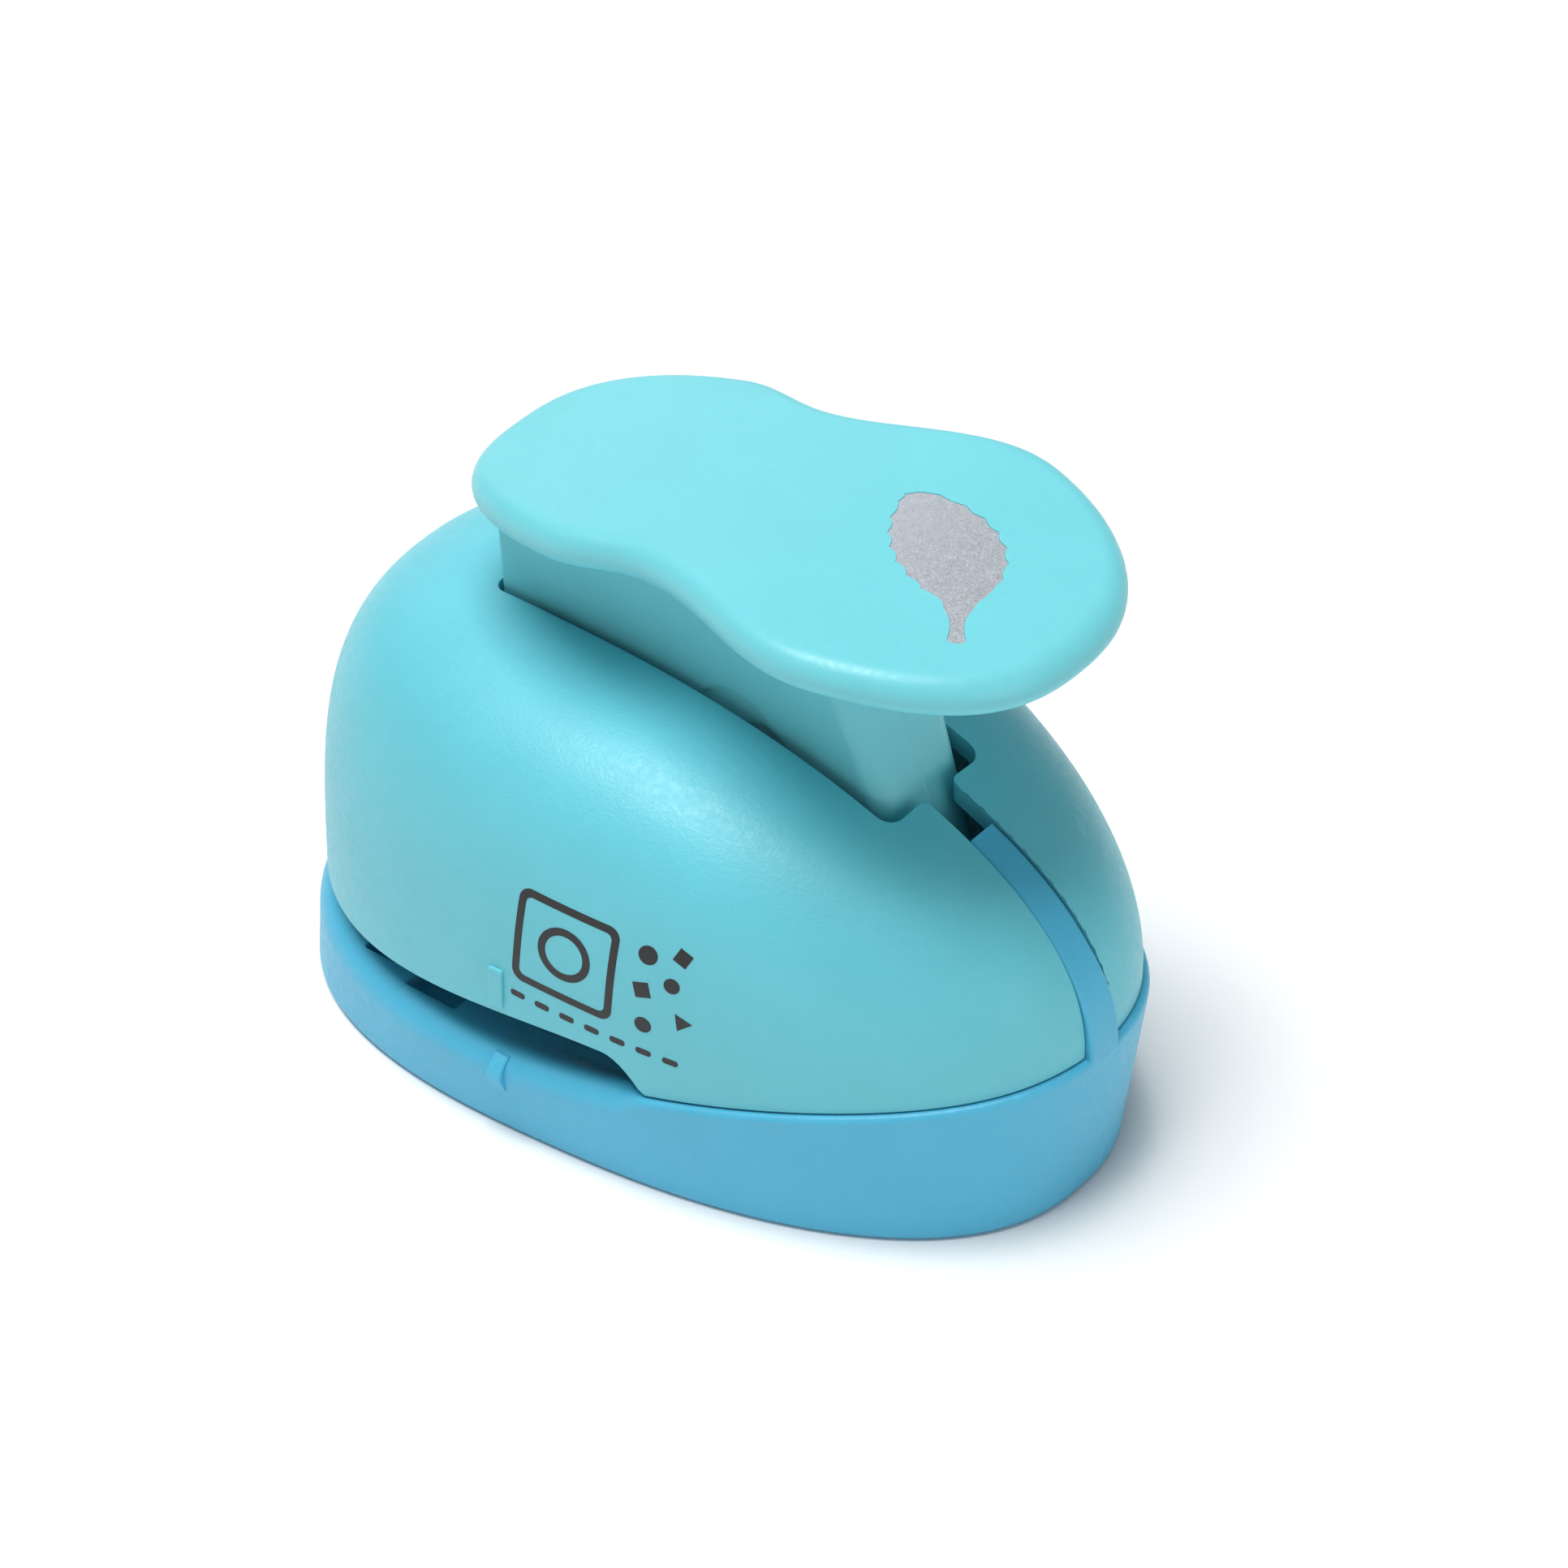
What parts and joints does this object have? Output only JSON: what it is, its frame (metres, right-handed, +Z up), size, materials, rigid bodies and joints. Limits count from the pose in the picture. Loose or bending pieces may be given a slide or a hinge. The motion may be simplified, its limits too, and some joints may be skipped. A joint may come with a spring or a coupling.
{
  "type": "craft punch",
  "caption": "Hand-held lever craft punch with an egg-shaped base and cover, a paper throat round the nose, a rocking press lever and a leaf-shaped steel punch and die.",
  "frame": {"origin": "centre of the footprint on the surface the punch stands on", "axes": "+X to the rear, where the press lever's free end is and away from the paper throat's nose; +Y across; +Z up"},
  "size_m": [0.0846, 0.056, 0.0639],
  "materials": {
    "base_blue": "sky-blue moulded ABS, fine matte grain, coarser on the deck",
    "cover_aqua": "aqua moulded ABS, fine spark-eroded grain with a soft sheen",
    "lever_aqua": "pale aqua moulded ABS, very fine satin",
    "silver_foil": "hot-stamped silver foil, faintly sparkling",
    "steel": "ground tool steel",
    "spring_steel": "drawn spring wire",
    "blackened_steel": "black-oxide screws and clips",
    "white_plastic": "natural acetal"
  },
  "bodies": {
    "housing": {"base": "base_blue", "cover_shell": "cover_aqua", "pivot_pin": "steel", "die_plate": "steel", "spacer_plate": "steel", "guide_plate": "steel", "guide_post_left": "steel", "guide_post_right": "steel", "post_clip_left": "blackened_steel", "post_clip_right": "blackened_steel", "return_spring_left": "spring_steel", "return_spring_right": "spring_steel", "die_rivet_left": "steel", "die_rivet_right": "steel", "case_screw_1": "blackened_steel", "case_screw_2": "blackened_steel", "case_screw_3": "blackened_steel", "case_screw_4": "blackened_steel", "die_screw_1": "blackened_steel", "die_screw_2": "blackened_steel", "die_screw_3": "blackened_steel"},
    "lever": {"press_lever": "lever_aqua", "leaf_foil": "silver_foil"},
    "punch": {"leaf_punch": "steel", "punch_holder": "white_plastic", "punch_screw_front": "blackened_steel", "punch_screw_rear": "blackened_steel"}
  },
  "joints": [
    {"name": "lever_hinge", "type": "hinge", "parent": "housing", "child": "lever", "pos_m": [-0.0195, 0, 0.035], "axis": [0, 1, 0], "range_deg": [0, 14], "stiffness_Nm_per_rad": 0.6, "springref_deg": -9.74},
    {"name": "punch_slide", "type": "slide", "parent": "housing", "child": "punch", "axis": [0, 0, -1], "range_m": [0, 0.0034], "deforming": ["return_spring_left", "return_spring_right"]}
  ],
  "couplings": [
    {"joint": "punch_slide", "follows": "lever_hinge", "m_per_rad": 0.0137}
  ]
}
